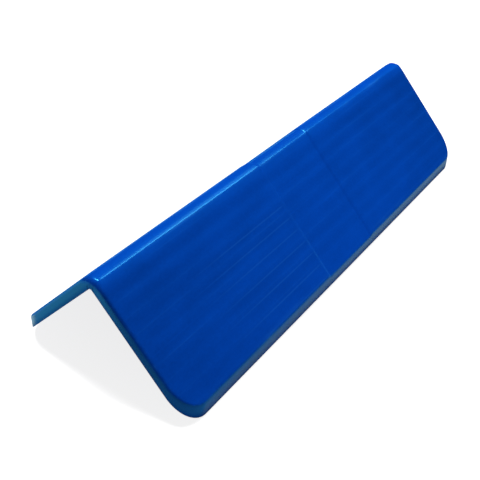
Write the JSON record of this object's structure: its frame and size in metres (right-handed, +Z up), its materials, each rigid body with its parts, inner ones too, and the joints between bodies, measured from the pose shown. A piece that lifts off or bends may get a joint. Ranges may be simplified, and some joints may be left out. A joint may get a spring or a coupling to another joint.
{
  "type": "corner guard moulding",
  "caption": "One-piece ribbed plastic corner guard, a bent board with rounded corners and a recessed strap channel across the crest, laid over a load's edge under a lashing strap.",
  "frame": {"origin": "floor level, midway between the feet of the two long rims and midway between the ends", "axes": "+Z up, +Y along the crest, +X across the legs; it stands as a tent on its long rims"},
  "size_m": [0.2154, 0.61, 0.1229],
  "materials": {
    "blue_plastic": "satin moulded polyethylene, royal blue"
  },
  "bodies": {
    "root": {"corner_guard": "blue_plastic"}
  },
  "joints": []
}
